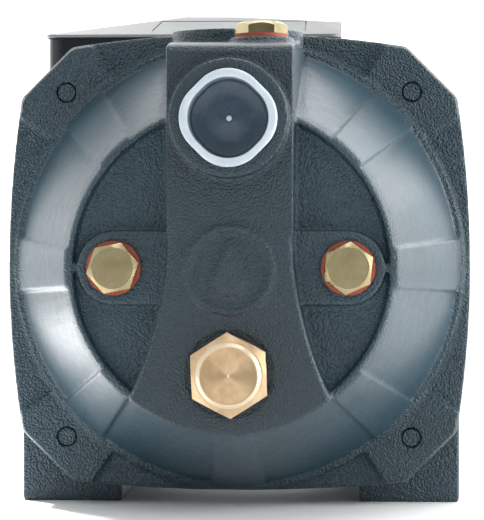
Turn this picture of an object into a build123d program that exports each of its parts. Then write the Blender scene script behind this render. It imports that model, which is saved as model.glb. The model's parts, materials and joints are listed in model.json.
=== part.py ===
# Shallow well jet pump: a cast-iron self-priming jet pump on its electric motor.
# Millimetres, +Z up. The shaft runs along Y and the pump end faces -Y. The origin lies on the
# base plane, midway between the two foot bolts.
from build123d import *

import os
from math import cos, pi, radians, sin, sqrt

os.makedirs("parts", exist_ok=True)

# Places along the shaft are given as the distance ahead of the casing's flange face, so the
# motor's are negative. Heights written as "rise" are above the shaft.

# Whole pump
shaft_z = 99.5
face_y = -50.0
fit_gap = 0.06

# Pump casing
flange_half = 95.6
flange_drop = 93.5
corner_far = 90.2
corner_near = 69.2
flange_thick = 12.0
corner_pad_thick = 14.0
ring_foot_radius = 91.4
ring_foot = 15.0
rim_radius = 64.9
rim = 84.0
rib_height = 1.25
rib_angle = 13.4
rib_count = 8
disc = 80.0
spine_face = 94.0
spine_half = 24.0
spine_foot_half = 39.0
spine_foot_rise = -50.5
spine_flare_rise = 15.5
block_top_rise = 85.9
bolt_square = 142.6
bolt_hole_radius = 4.0

# Ports and plugs
gas_1in_radius = 15.2
discharge_place = 24.0
discharge_rise = 95.0
discharge_boss_radius = 26.8
suction_rise = 57.2
suction_boss_radius = 22.6
suction_face = 104.0
cap_seat_radius = 16.8
cap_seat_depth = 10.0
plug_thread_radius = 6.5
plug_hex = 18.0
plug_head = 4.8
washer_thick = 1.5
gauge_x = 45.3
gauge_seat = 84.2
lobe_root = 76.0
lobe_face = gauge_seat + 0.3
lobe_radius = 14.2
priming_x = 10.9
priming_place = 55.0
priming_seat_rise = 90.7
drain_rise = -40.5
drain_thread_radius = 10.4
drain_hex = 28.6
drain_seat = 93.5

# Hydraulics inside the casing
venturi_radius = 12.9
venturi_front = 66.0
venturi_rear = 26.0
nozzle_radius = 8.0
impeller_radius = 60.0
diffuser_radius = 69.0

# Shaft and bearings
stub_radius = 7.0
journal_radius = 8.5
rotor_seat_radius = 10.0
bearing_radius = 20.0
bearing_width = 12.0
ball_radius = 3.35
ball_circle = 14.25
ball_count = 8

# Motor
bracket_rear = -46.0
housing_rear = -198.0
housing_bore = 56.0
housing_radius = 61.0
fin_radius = 73.0
stator_front = -88.0
stator_rear = -160.0
stator_bore = 31.0
rotor_radius = 30.6
rod_circle = 65.5
rod_radius = 2.5
front_bearing = -33.0
rear_bearing = housing_rear + 7.0
shield_rear = housing_rear - 7.0
cover_radius = 72.0
cover_rear = housing_rear - 50.0
foot_outer = 91.8
foot_inner = 49.6
foot_rear = -98.0
foot_thick = 11.0
foot_gap_height = 9.6
foot_bolt_x = 71.0
foot_bolt_radius = 5.0

# Terminal box
box_left = -91.3
box_right = 42.0
box_front = -80.0
box_rear = -172.0
box_floor = 176.0
box_top = 199.7
lid_seat = 201.0
lid_rim = 201.7
lid_crown = 212.4
lid_skin = 2.0
lid_lap = 0.5

shaft_line = Axis((0, 0, shaft_z), (0, 1, 0))
radial_plane = Plane(origin=(0, face_y, shaft_z), x_dir=(0, -1, 0), z_dir=(-1, 0, 0))


def front(ahead):
    """The plane that faces the front, this far ahead of the flange face."""
    return Plane(origin=(0, face_y - ahead, shaft_z), x_dir=(1, 0, 0), z_dir=(0, -1, 0))


def level(rise):
    """The horizontal plane this far above the shaft, with its origin over the flange face."""
    return Plane(origin=(0, face_y, shaft_z + rise), x_dir=(1, 0, 0), z_dir=(0, 0, 1))


def outline(plane, points):
    """A closed sketch with straight sides through the points."""
    with BuildSketch(plane) as shape:
        with BuildLine():
            Polyline(*points, close=True)
        make_face()
    return shape.sketch


def turned(points, mode=Mode.ADD, arc=360.0):
    """Turn a profile of (ahead, radius) points about the shaft."""
    revolve(outline(radial_plane, points), axis=shaft_line, revolution_arc=arc, mode=mode)


def rings(start, stop, outer, inner=0.0, mode=Mode.ADD):
    """A disc or ring about the shaft between two places."""
    turned([(start, inner), (start, outer), (stop, outer), (stop, inner)], mode)


def slab(plane, left, right, low, high, amount, mode=Mode.ADD):
    """A block whose face on the plane runs from left to right and low to high."""
    corners = [(left, low), (right, low), (right, high), (left, high)]
    extrude(outline(plane, corners), amount=amount, mode=mode)


def rod(plane, x, y, radius, amount, mode=Mode.ADD):
    """A round bar or hole standing on the plane at (x, y)."""
    with BuildSketch(plane) as shape:
        with Locations((x, y)):
            Circle(radius)
    extrude(shape.sketch, amount=amount, mode=mode)


def around(count, radius, start=0.0):
    """Points spread evenly round a circle."""
    angles = [radians(start + 360.0 * i / count) for i in range(count)]
    return [(radius * cos(a), radius * sin(a)) for a in angles]


def save(piece, name):
    """Label a finished piece and write its STEP file."""
    piece.part.label = name
    export_step(piece.part, f"parts/{name}.step")


# ---------------------------------------------------------------- pump casing

half_pitch = bolt_square / 2
bolt_points = [(half_pitch * sx, half_pitch * sz) for sx in (-1, 1) for sz in (-1, 1)]


def flange_outline(plane, inset=0.0):
    """The square flange with bowed sides and cut corners."""
    far = corner_far - inset
    near = corner_near - inset / 2
    side = flange_half - inset
    drop = flange_drop - inset
    with BuildSketch(plane) as shape:
        with BuildLine():
            ThreePointArc((-near, far), (0, side), (near, far))
            Line((near, far), (far, near))
            ThreePointArc((far, near), (side, 0), (far, -near))
            Line((far, -near), (near, -far))
            ThreePointArc((near, -far), (0, -drop), (-near, -far))
            Line((-near, -far), (-far, -near))
            ThreePointArc((-far, -near), (-side, 0), (-far, near))
            Line((-far, near), (-near, far))
        make_face()
        fillet(shape.vertices(), radius=5.0)
    return shape.sketch


def corner_pad(sign_x, sign_z):
    """The raised sector round one flange bolt, cut to the flange's outline."""
    reach = 130.0
    middle = radians(45)
    spread = radians(11)
    points = [
        (sign_x * length * cos(middle + turn), sign_z * length * sin(middle + turn))
        for length, turn in ((80, -spread), (reach, -spread), (reach, spread), (80, spread))
    ]
    return outline(front(0), points)


with BuildPart() as corner_pads:
    for sign_x in (-1, 1):
        for sign_z in (-1, 1):
            extrude(corner_pad(sign_x, sign_z), amount=corner_pad_thick)
    extrude(flange_outline(front(0), 0.8), amount=corner_pad_thick, mode=Mode.INTERSECT)

# The block above the ring, from the suction port back to the discharge boss
block_side = [
    (spine_face, 12),
    (spine_face, block_top_rise - 3),
    (spine_face - 1, block_top_rise - 0.9),
    (spine_face - 3.5, block_top_rise),
    (priming_place + 13, priming_seat_rise - 2.5),
    (discharge_place, priming_seat_rise),
    (discharge_place, 12),
]
with BuildPart() as top_block:
    extrude(outline(radial_plane, block_side), amount=40, both=True)
    block_front_half = spine_half + 0.3
    block_rear_half = discharge_boss_radius - 0.7
    plan = [
        (-block_front_half, -spine_face),
        (block_front_half, -spine_face),
        (block_rear_half, -discharge_place),
        (-block_rear_half, -discharge_place),
    ]
    extrude(outline(level(0), plan), amount=120, mode=Mode.INTERSECT)

# The spine that runs down the front face and flares out over the drain plug
with BuildPart() as spine:
    with BuildSketch(front(spine_face)) as spine_shape:
        with BuildLine():
            flare = spine_foot_half - spine_half
            drop = spine_flare_rise - spine_foot_rise
            flare_radius = (flare**2 + drop**2) / (2 * flare)
            half_turn = sqrt(1 - (drop / 2 / flare_radius) ** 2)
            mid_x = spine_half + flare_radius * (1 - half_turn)
            mid_rise = spine_flare_rise - drop / 2
            low_arc = sqrt(spine_foot_half**2 + spine_foot_rise**2)
            Line((-spine_half, 70), (spine_half, 70))
            Line((spine_half, 70), (spine_half, spine_flare_rise))
            ThreePointArc(
                (spine_half, spine_flare_rise),
                (mid_x, mid_rise),
                (spine_foot_half, spine_foot_rise),
            )
            ThreePointArc(
                (spine_foot_half, spine_foot_rise),
                (0, -low_arc),
                (-spine_foot_half, spine_foot_rise),
            )
            ThreePointArc(
                (-spine_foot_half, spine_foot_rise),
                (-mid_x, mid_rise),
                (-spine_half, spine_flare_rise),
            )
            Line((-spine_half, spine_flare_rise), (-spine_half, 70))
        make_face()
    extrude(amount=-20)
    chamfer(spine.faces().sort_by(Axis.Y)[0].edges().sort_by(Axis.Z)[:-1], length=1.2)

badge_rise = -0.5
badge_radius = 17.2
badge_line = 2.0
badge_relief = 1.2
drop_rise = badge_rise - 3.4
drop_radius = 6.4
drop_reach = 15.0

with BuildPart() as pump_casing:
    extrude(flange_outline(front(0)), amount=flange_thick)
    add(corner_pads.part)
    turned([
        (6, 0),
        (6, 93),
        (ring_foot + 0.3, 93),
        (ring_foot + 0.3, 91.2),
        (ring_foot - 1.2, ring_foot_radius - rib_height - 0.4),
        (ring_foot, ring_foot_radius - rib_height),
        (rim - 1, rim_radius - rib_height),
        (rim, rim_radius - rib_height - 1),
        (rim, rim_radius - 3.4),
        (disc, rim_radius - 4.2),
        (disc, 0),
    ])
    rib = outline(radial_plane, [
        (6, 70),
        (6, 92),
        (ring_foot, ring_foot_radius),
        (rim - 1.2, rim_radius),
        (rim - 0.2, rim_radius - 1),
        (rim - 0.2, rim_radius - 3),
        (60, 60),
    ])
    for rib_number in range(1, rib_count):
        turn = Rotation(0, 360.0 * rib_number / rib_count - rib_angle / 2, 0)
        local = Plane(origin=(0, 0, shaft_z)).location
        rib_face = local * turn * local.inverse() * rib
        revolve(rib_face, axis=shaft_line, revolution_arc=rib_angle)
    add(top_block.part)
    add(spine.part)
    rod(level(55), 0, -discharge_place, discharge_boss_radius, discharge_rise - 55)
    slab(front(0), -40, 40, 50, 110, -10, Mode.SUBTRACT)
    rod(level(70), priming_x, -priming_place, 12.8, priming_seat_rise - 70)
    with BuildSketch(front(spine_face - 6)) as suction_boss:
        with Locations((0, suction_rise)):
            Circle(suction_boss_radius)
    extrude(amount=suction_face - spine_face + 6)
    for side in (-1, 1):
        lobe_height = lobe_face - lobe_root
        rod(front(lobe_root), side * gauge_x, 0, lobe_radius, lobe_height)
        low_x, high_x = sorted((side * 20.0, side * gauge_x))
        slab(front(lobe_root), low_x, high_x, -lobe_radius, lobe_radius, lobe_height)
    # A plain badge, a water drop in a ring, stands a little proud of the spine
    with BuildSketch(front(spine_face - 1)) as badge:
        with Locations((0, badge_rise)):
            Circle(badge_radius)
            Circle(badge_radius - badge_line, mode=Mode.SUBTRACT)
        shoulder_rise = drop_radius**2 / drop_reach
        shoulder_x = sqrt(drop_radius**2 - shoulder_rise**2)
        right_shoulder = (shoulder_x, drop_rise + shoulder_rise)
        left_shoulder = (-shoulder_x, drop_rise + shoulder_rise)
        with BuildLine():
            Line(right_shoulder, (0, drop_rise + drop_reach))
            Line((0, drop_rise + drop_reach), left_shoulder)
            ThreePointArc(left_shoulder, (0, drop_rise - drop_radius), right_shoulder)
        make_face()
    extrude(amount=1 + badge_relief)

    # The main chamber, then the suction box and its passages
    turned([(-1, 0), (-1, 84), (12, 83.5), (66, 62), (74, 56), (74, 0)], Mode.SUBTRACT)
    slab(front(62), -21, 21, -22, 80, 18)
    rings(54, 66, 19)
    slab(front(66), -16, 16, -16, 22, 8, Mode.SUBTRACT)
    slab(front(66), -17, 17, 20, 76, 21, Mode.SUBTRACT)
    slab(front(79), -15, 15, -52, 15, 9, Mode.SUBTRACT)
    slab(front(70), -15, 15, -52, -26, 18, Mode.SUBTRACT)
    rings(50, 70, venturi_radius + 0.1, 0, Mode.SUBTRACT)
    rings(70, 84, nozzle_radius, 0, Mode.SUBTRACT)
    rod(front(80), 0, suction_rise, 19, 8)
    rod(level(70), 0, -discharge_place, 19, 20)

    # Machined ports, seats and holes
    rod(front(70), 0, suction_rise, gas_1in_radius, 50, Mode.SUBTRACT)
    rod(front(suction_face), 0, suction_rise, cap_seat_radius, -cap_seat_depth, Mode.SUBTRACT)
    rod(level(60), 0, -discharge_place, gas_1in_radius, 50, Mode.SUBTRACT)
    rod(level(discharge_rise - 1), 0, -discharge_place, 17, 5, Mode.SUBTRACT)
    rod(level(priming_seat_rise), priming_x, -priming_place, 12.2, 10, Mode.SUBTRACT)
    rod(level(50), priming_x, -priming_place, plug_thread_radius + fit_gap, 50, Mode.SUBTRACT)
    for side in (-1, 1):
        rod(front(gauge_seat), side * gauge_x, 0, 11.6, 5, Mode.SUBTRACT)
        hole = plug_thread_radius + fit_gap
        rod(front(70), side * gauge_x, 0, hole, 30, Mode.SUBTRACT)
    rod(front(drain_seat), 0, drain_rise, 17, 5, Mode.SUBTRACT)
    rod(front(84), 0, drain_rise, drain_thread_radius + fit_gap, 20, Mode.SUBTRACT)
    for x, z in bolt_points:
        rod(front(-1), x, z, bolt_hole_radius, 20, Mode.SUBTRACT)
save(pump_casing, "pump_casing")

with BuildPart() as casing_gasket:
    extrude(flange_outline(front(0), 1.0), amount=-1)
    rings(-2, 1, 84, 0, Mode.SUBTRACT)
    for x, z in bolt_points:
        rod(front(1), x, z, bolt_hole_radius + 0.5, -3, Mode.SUBTRACT)
save(casing_gasket, "casing_gasket")


# ---------------------------------------------------------------- plugs and cap

def rounded_diamond(plane, reach, flat):
    """A square on its corner, rounded so that its corners reach this far."""
    corner = (flat * sqrt(2) - reach) / (sqrt(2) - 1)
    with BuildSketch(plane) as shape:
        with Locations((0, suction_rise)):
            RectangleRounded(2 * flat, 2 * flat, corner, rotation=45)
    return shape.sketch


cap_gap = 0.05
with BuildPart() as suction_port_cap:
    extrude(rounded_diamond(front(suction_face), 18.7, 17.5), amount=2.2)
    cup_depth = cap_seat_depth - 0.5
    rod(front(suction_face), 0, suction_rise, cap_seat_radius - cap_gap, -cup_depth)
    hollow = rounded_diamond(front(suction_face + 2.2), 15.1, 14.5)
    extrude(hollow, amount=-(cup_depth + 2.2 - 1.2), mode=Mode.SUBTRACT)
    rod(front(suction_face - cup_depth + 1.0), 0, suction_rise, 1.2, 1.6)
save(suction_port_cap, "suction_port_cap")


hex_bevel_share = 0.7


def hex_head(plane, across_flats, thick, turn, flat_radius):
    """A hexagon head on the plane, its front corners turned away in a cone."""
    with BuildSketch(plane) as shape:
        RegularPolygon(across_flats / 2, 6, major_radius=False, rotation=turn)
    extrude(shape.sketch, amount=thick)
    corner = across_flats / sqrt(3)
    bevel = (corner - flat_radius) * hex_bevel_share
    line = Axis(plane.origin, plane.z_dir)
    profile_plane = Plane(origin=plane.origin, x_dir=plane.z_dir, z_dir=plane.x_dir)
    cone = [(0, 0), (0, corner + 1), (thick - bevel, corner + 0.01), (thick, flat_radius), (thick, 0)]
    revolve(outline(profile_plane, cone), axis=line, mode=Mode.INTERSECT)


def plug(plane, turn):
    """A gas-thread plug with a hexagon head standing on the plane."""
    with BuildPart() as body:
        hex_head(plane, plug_hex, plug_head, turn, 8.0)
        rod(plane, 0, 0, plug_thread_radius, -10)
    return body


def flat_washer(plane, outer, inner, thick):
    """A flat ring lying on the plane."""
    with BuildPart() as body:
        rod(plane, 0, 0, outer, thick)
        rod(plane, 0, 0, inner, thick, Mode.SUBTRACT)
    return body


def seat_plane(x, rise, ahead, facing_up=False):
    """The plane of one plug's washer seat."""
    spot = (x, face_y - ahead, shaft_z + rise)
    if facing_up:
        return Plane(origin=spot, x_dir=(1, 0, 0), z_dir=(0, 0, 1))
    return Plane(origin=spot, x_dir=(1, 0, 0), z_dir=(0, -1, 0))


plug_seats = {
    "gauge_plug_left": (seat_plane(-gauge_x, 0, gauge_seat), 11.0),
    "gauge_plug_right": (seat_plane(gauge_x, 0, gauge_seat), 24.5),
    "priming_plug": (seat_plane(priming_x, priming_seat_rise, priming_place, True), 2.0),
}
for plug_name, (seat, turn) in plug_seats.items():
    save(flat_washer(seat, 10.5, plug_thread_radius + 0.3, washer_thick), plug_name + "_washer")
    save(plug(seat.offset(washer_thick), turn), plug_name)

drain_plane = seat_plane(0, drain_rise, drain_seat)
save(flat_washer(drain_plane, 14.0, drain_thread_radius + 0.3, washer_thick), "drain_plug_washer")

drain_head = 8.2
with BuildPart() as drain_plug:
    drain_head_plane = drain_plane.offset(washer_thick)
    hex_head(drain_head_plane, drain_hex, drain_head, 32.6, 13.0)
    rod(drain_head_plane, 0, 0, drain_thread_radius, -10)
    rod(drain_head_plane.offset(drain_head), 0, 0, 12.4, 1.4)
    chamfer(drain_plug.faces().sort_by(Axis.Y)[0].edges(), length=1.1)
save(drain_plug, "drain_plug")


# ---------------------------------------------------------------- hydraulics

with BuildPart() as ejector_nozzle:
    tip = 64.0
    turned([
        (79, 6.0),
        (79, nozzle_radius),
        (74, nozzle_radius),
        (74, 10.5),
        (71.5, 10.5),
        (71.5, 7.0),
        (tip, 3.6),
        (tip, 2.3),
        (71.5, 4.6),
    ])
save(ejector_nozzle, "ejector_nozzle")

groove_places = (60.0, 30.0)
groove_depth = 1.9
groove_half_width = 1.3
with BuildPart() as venturi_tube:
    turned([
        (venturi_front, 9.0),
        (venturi_front, venturi_radius),
        (54, venturi_radius),
        (52, 10.5),
        (36, 10.5),
        (34, venturi_radius),
        (venturi_rear, venturi_radius),
        (venturi_rear, 9.0),
        (50, 4.2),
        (57, 4.2),
    ])
    for place in groove_places:
        start, stop = place - groove_half_width, place + groove_half_width
        rings(start, stop, venturi_radius + 1, venturi_radius - groove_depth, Mode.SUBTRACT)
save(venturi_tube, "venturi_tube")

with BuildPart() as venturi_o_rings:
    for place in groove_places:
        with BuildSketch(radial_plane) as section:
            with Locations((place, venturi_radius - groove_depth + 0.98)):
                Circle(0.95)
        revolve(section.sketch, axis=shaft_line)
save(venturi_o_rings, "venturi_o_rings")

with BuildPart() as diffuser:
    rings(-1, 24, diffuser_radius, 66)
    rings(21, 24, 66, 16)
    rings(15.5, 21, 25, 21.2)
    rings(21, 36, 17, 13)
    for x, z in around(8, diffuser_radius - 1.5, 22.5):
        rod(front(4), x, z, 6, 12, Mode.SUBTRACT)
save(diffuser, "diffuser")

with BuildPart() as impeller:
    rings(3, 6, impeller_radius, stub_radius)
    rings(3, 13, 11, stub_radius)
    rings(12, 14.5, impeller_radius, 16)
    rings(14.5, 20, 20.5, 16)
    for vane in range(6):
        start = radians(60 * vane)
        with BuildSketch(front(5)) as vane_shape:
            with BuildLine():
                inner_point = (17 * cos(start), 17 * sin(start))
                mid_turn = start - radians(32)
                mid_point = (36 * cos(mid_turn), 36 * sin(mid_turn))
                end_turn = start - radians(80)
                end_point = (58.5 * cos(end_turn), 58.5 * sin(end_turn))
                ThreePointArc(inner_point, mid_point, end_point)
            trace(line_width=2.2)
        extrude(amount=8)
save(impeller, "impeller")

with BuildPart() as impeller_nut:
    hex_head(front(13), 16, 7, 0, 7.4)
    rings(10, 25, 5, 0, Mode.SUBTRACT)
save(impeller_nut, "impeller_nut")

with BuildPart() as seal_plate:
    rings(-3, -1, 88, 13)
    rings(-18, -1, 17, 15)
    rings(-18, -16, 17, 9)
    rings(-3, -1, 15, 12, Mode.SUBTRACT)
save(seal_plate, "seal_plate")

with BuildPart() as seal_seat:
    rings(-15, -9, 12, 8)
save(seal_seat, "seal_seat")

with BuildPart() as seal_seat_boot:
    rings(-15, -9.5, 15, 12)
    rings(-16, -15, 15, 9)
save(seal_seat_boot, "seal_seat_boot")

seal_gap = 0.05
with BuildPart() as seal_rotary_head:
    rings(-9 + seal_gap, -7, 10.5, stub_radius)
    rings(-7, -3, 12, stub_radius)
save(seal_rotary_head, "seal_rotary_head")

with BuildPart() as seal_spring:
    spring_foot = face_y + 2.1
    spring_base = Plane(origin=(0, spring_foot, shaft_z), x_dir=(1, 0, 0), z_dir=(0, -1, 0))
    spring_path = spring_base.location * Helix(pitch=2.0, height=4.0, radius=9.4)
    start_plane = Plane(origin=spring_path @ 0, z_dir=spring_path % 0)
    with BuildSketch(start_plane):
        Circle(0.7)
    sweep(path=spring_path, is_frenet=True)
save(seal_spring, "seal_spring")


# ---------------------------------------------------------------- bracket and fasteners

bracket_plate = 10.0
web_thick = 7.0
with BuildPart() as motor_bracket:
    extrude(flange_outline(front(-1), 1.0), amount=-bracket_plate)
    turned([
        (-1, 80),
        (-1, 90),
        (-13, 86),
        (-34, 70),
        (-36, 71),
        (bracket_rear, 71),
        (bracket_rear, housing_bore - 0.1),
        (bracket_rear - 4, housing_bore - 0.1),
        (bracket_rear - 4, 50),
        (-40, 46),
        (-40, 27),
        (bracket_rear, 27),
        (bracket_rear, 16),
        (-28, 16),
        (-28, 26),
        (-34, 46),
        (-34, 56),
        (-13, 76),
        (-5, 80),
    ])
    slab(front(-1), -foot_outer, foot_outer, -shaft_z, -38, -14)
    rings(-13, 1, 80, 0, Mode.SUBTRACT)
    gap_top = foot_gap_height - shaft_z
    slab(front(1), -foot_inner, foot_inner, -shaft_z - 1, gap_top, -30, Mode.SUBTRACT)
    for x, z in bolt_points:
        rod(front(-8), x, z, 11, -5)
    for side in (-1, 1):
        low_x, high_x = sorted((side * foot_inner, side * foot_outer))
        foot_top = foot_thick - shaft_z
        slab(front(-1), low_x, high_x, -shaft_z, foot_top, foot_rear + 1)
        web = [
            (-8, foot_top - 1),
            (foot_rear + 6, foot_top - 1),
            (bracket_rear - 12, 44 - shaft_z),
            (bracket_rear + 4, 50 - shaft_z),
            (-20, 64 - shaft_z),
            (-8, 64 - shaft_z),
        ]
        web_side = side * foot_inner if side > 0 else -foot_inner - web_thick
        web_plane = Plane(
            origin=(web_side, face_y, shaft_z), x_dir=(0, -1, 0), z_dir=(-1, 0, 0)
        )
        extrude(outline(web_plane, web), amount=-web_thick)
        rod(level(-shaft_z - 1), side * foot_bolt_x, 50, foot_bolt_radius, 30, Mode.SUBTRACT)
    rings(-3, 1, 88.2, 0, Mode.SUBTRACT)
    for x, z in bolt_points:
        rod(front(1), x, z, bolt_hole_radius + 0.2, -20, Mode.SUBTRACT)
        rod(front(-13), x, z, 9.5, -30, Mode.SUBTRACT)
    rings(bracket_rear - 1, front_bearing, bearing_radius, 0, Mode.SUBTRACT)
    for x, z in around(4, rod_circle, 45):
        rod(front(bracket_rear), x, z, rod_radius + 0.1, 9, Mode.SUBTRACT)
save(motor_bracket, "motor_bracket")

washer_steel = 1.6
bolt_seat = -13.0 - washer_steel
with BuildPart() as casing_bolts:
    for x, z in bolt_points:
        rod(front(bolt_seat), x, z, 3.9, corner_pad_thick - washer_steel - bolt_seat)
        rod(front(0), x, z, 3.5, corner_pad_thick)
        with BuildSketch(front(bolt_seat)):
            with Locations((x, z)):
                RegularPolygon(6.5, 6, major_radius=False)
        extrude(amount=-5.3)
save(casing_bolts, "casing_bolts")

with BuildPart() as casing_bolt_washers:
    for x, z in bolt_points:
        rod(front(bolt_seat), x, z, 8.5, washer_steel)
        rod(front(bolt_seat), x, z, 4.2, washer_steel, Mode.SUBTRACT)
save(casing_bolt_washers, "casing_bolt_washers")

with BuildPart() as water_slinger:
    rings(-26, -22, 11, stub_radius)
    turned([(-23.5, 10), (-21.5, 14.5), (-22.5, 14.5), (-25, 10)])
save(water_slinger, "water_slinger")


# ---------------------------------------------------------------- shaft and bearings

shaft_end = cover_rear + 14
with BuildPart() as motor_shaft:
    turned([
        (21, 0),
        (21, 4.4),
        (20.4, 5),
        (13, 5),
        (13, stub_radius),
        (-27, stub_radius),
        (-27, journal_radius),
        (front_bearing - bearing_width, journal_radius),
        (front_bearing - bearing_width, rotor_seat_radius),
        (rear_bearing, rotor_seat_radius),
        (rear_bearing, journal_radius),
        (rear_bearing - bearing_width - 2, journal_radius),
        (rear_bearing - bearing_width - 2, stub_radius),
        (shaft_end, stub_radius),
        (shaft_end, 0),
    ])
save(motor_shaft, "motor_shaft")


def ball_points():
    """The bearing's ball centres, seen from the front."""
    return around(ball_count, ball_circle, 22.5)


for bearing_name, bearing_front in (("front", front_bearing), ("rear", rear_bearing)):
    bearing_back = bearing_front - bearing_width
    middle = bearing_front - bearing_width / 2
    with BuildSketch(radial_plane) as groove:
        with Locations((middle, ball_circle)):
            Circle(ball_radius + 0.07)

    with BuildPart() as inner_ring:
        rings(bearing_back, bearing_front, 12.0, journal_radius)
        revolve(groove.sketch, axis=shaft_line, mode=Mode.SUBTRACT)
    save(inner_ring, f"{bearing_name}_bearing_inner_ring")

    with BuildPart() as outer_ring:
        rings(bearing_back, bearing_front, bearing_radius, 16.5)
        revolve(groove.sketch, axis=shaft_line, mode=Mode.SUBTRACT)
    save(outer_ring, f"{bearing_name}_bearing_outer_ring")

    with BuildPart() as balls:
        for x, z in ball_points():
            with Locations((x, face_y - middle, shaft_z + z)):
                Sphere(ball_radius)
    save(balls, f"{bearing_name}_bearing_balls")

    with BuildPart() as cage:
        rings(middle - 4.4, middle + 4.4, 15.2, 13.3)
        for x, z in ball_points():
            pocket = Plane(origin=(0, face_y - middle, shaft_z), z_dir=(x, 0, z))
            rod(pocket, 0, 0, ball_radius + 0.1, 20, Mode.SUBTRACT)
    save(cage, f"{bearing_name}_bearing_cage")


# ---------------------------------------------------------------- motor

slot_count = 24
slot_root = 48.0
slot_mouth = stator_bore + 3.0


def slot_shape(plane, clearance=0.0):
    """The stator's winding slots, each wider towards the outside."""
    with BuildSketch(plane) as shape:
        for slot in range(slot_count):
            turn = radians(360.0 * slot / slot_count)
            points = []
            low, high = slot_mouth + clearance, slot_root - clearance
            for radius, half in ((low, 2.2), (high, 3.6), (high, -3.6), (low, -2.2)):
                half_width = half - clearance if half > 0 else half + clearance
                points.append((
                    radius * cos(turn) - half_width * sin(turn),
                    radius * sin(turn) + half_width * cos(turn),
                ))
            with BuildLine():
                Polyline(*points, close=True)
            make_face()
    return shape.sketch


stack_length = stator_front - stator_rear
with BuildPart() as stator_core:
    rings(stator_rear, stator_front, housing_bore, stator_bore)
    extrude(slot_shape(front(stator_rear)), amount=stack_length, mode=Mode.SUBTRACT)
save(stator_core, "stator_core")

end_turn = 15.0
with BuildPart() as stator_windings:
    for start, stop in (
        (stator_front, stator_front + end_turn),
        (stator_rear - end_turn, stator_rear),
    ):
        turned([
            (start, 34),
            (start, 50),
            (start + 3, 52),
            (stop - 3, 52),
            (stop, 50),
            (stop, 34),
        ])
    extrude(slot_shape(front(stator_rear), 0.2), amount=stack_length)
save(stator_windings, "stator_windings")

with BuildPart() as rotor_core:
    rings(stator_rear, stator_front, rotor_radius, rotor_seat_radius)
save(rotor_core, "rotor_core")

with BuildPart() as rotor_end_rings:
    for start, stop in ((stator_front, stator_front + 8), (stator_rear - 8, stator_rear)):
        rings(start, stop, 30, 19)
    for x, z in around(6, 24.5):
        for start, stop in (
            (stator_front + 8, stator_front + 13),
            (stator_rear - 13, stator_rear - 8),
        ):
            rod(front(start), x, z, 2.2, stop - start)
save(rotor_end_rings, "rotor_end_rings")

wire_x, wire_y, wire_radius = -10.0, 120.0, 8.0
fin_pitch = 10
fin_thick = 2.4
fin_count = 29
pad_half = 32.0
with BuildPart() as motor_housing:
    rings(housing_rear, bracket_rear, housing_radius)
    fin_length = bracket_rear - housing_rear
    for fin in range(fin_count):
        turn = -90 - fin_pitch * (fin_count - 1) / 2 + fin_pitch * fin
        with BuildSketch(front(housing_rear)):
            with Locations(Rotation(0, 0, turn)):
                with Locations((housing_radius / 2 + fin_radius / 2 - 1, 0)):
                    Rectangle(fin_radius - housing_radius + 2, fin_thick)
        extrude(amount=fin_length)
    slab(front(box_rear + 6), -pad_half, pad_half, 50, box_floor - shaft_z, box_front - box_rear - 12)
    rings(housing_rear - 1, bracket_rear + 1, housing_bore, 0, Mode.SUBTRACT)
    rod(level(40), wire_x, wire_y, wire_radius, 60, Mode.SUBTRACT)
save(motor_housing, "motor_housing")

with BuildPart() as rear_end_shield:
    rings(shield_rear, housing_rear, 70)
    rings(shield_rear, housing_rear + 4, housing_bore - 0.1)
    rings(shield_rear - 3, rear_bearing, 26)
    rings(housing_rear, housing_rear + 5, 50, 26, Mode.SUBTRACT)
    rings(rear_bearing - bearing_width - 1, rear_bearing + 1, bearing_radius, 0, Mode.SUBTRACT)
    rings(shield_rear - 4, rear_bearing, 15, 0, Mode.SUBTRACT)
    for x, z in around(4, rod_circle, 45):
        rod(front(shield_rear - 1), x, z, rod_radius + 0.1, 20, Mode.SUBTRACT)
save(rear_end_shield, "rear_end_shield")

with BuildPart() as wave_spring:
    rings(rear_bearing - bearing_width - 1, rear_bearing - bearing_width, 19.4, 16.4)
save(wave_spring, "wave_spring")

rod_front = bracket_rear + 8.0
with BuildPart() as tie_rods:
    for x, z in around(4, rod_circle, 45):
        rod(front(shield_rear - 3.5), x, z, rod_radius, rod_front - shield_rear + 3.5)
        rod(front(shield_rear - 3.5), x, z, 4.2, 3.5)
save(tie_rods, "tie_rods")

fan_front = shield_rear - 8.0
fan_rear = fan_front - 18.0
with BuildPart() as cooling_fan:
    rings(fan_rear, fan_front, 13, stub_radius)
    rings(fan_front - 2.5, fan_front, 58, 12)
    for blade in range(9):
        with BuildSketch(front(fan_rear + 2)):
            with Locations(Rotation(0, 0, 40.0 * blade)):
                with Locations((34, 0)):
                    Rectangle(46, 2.0)
        extrude(amount=fan_front - fan_rear - 3)
save(cooling_fan, "cooling_fan")

cover_skin = 1.5
cover_front = housing_rear - 1.0
with BuildPart() as fan_cover:
    turned([
        (cover_front, cover_radius - cover_skin),
        (cover_front, cover_radius),
        (cover_rear + 6, cover_radius),
        (cover_rear + 1.6, cover_radius - 1.8),
        (cover_rear, cover_radius - 6),
        (cover_rear, 0),
        (cover_rear + cover_skin, 0),
        (cover_rear + cover_skin, cover_radius - 6.6),
        (cover_rear + 2.8, cover_radius - 3.2),
        (cover_rear + 6.4, cover_radius - cover_skin),
    ])
    for slot_circle, slot_number in ((22, 8), (34, 12), (46, 18), (58, 24)):
        slot_length = 2 * pi * slot_circle / slot_number - 4.5
        for slot in range(slot_number):
            with BuildSketch(front(cover_rear - 1)):
                with Locations(Rotation(0, 0, 360.0 * slot / slot_number)):
                    with Locations((slot_circle, 0)):
                        SlotOverall(slot_length, 5.0, rotation=90)
            extrude(amount=4, mode=Mode.SUBTRACT)
save(fan_cover, "fan_cover")

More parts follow.
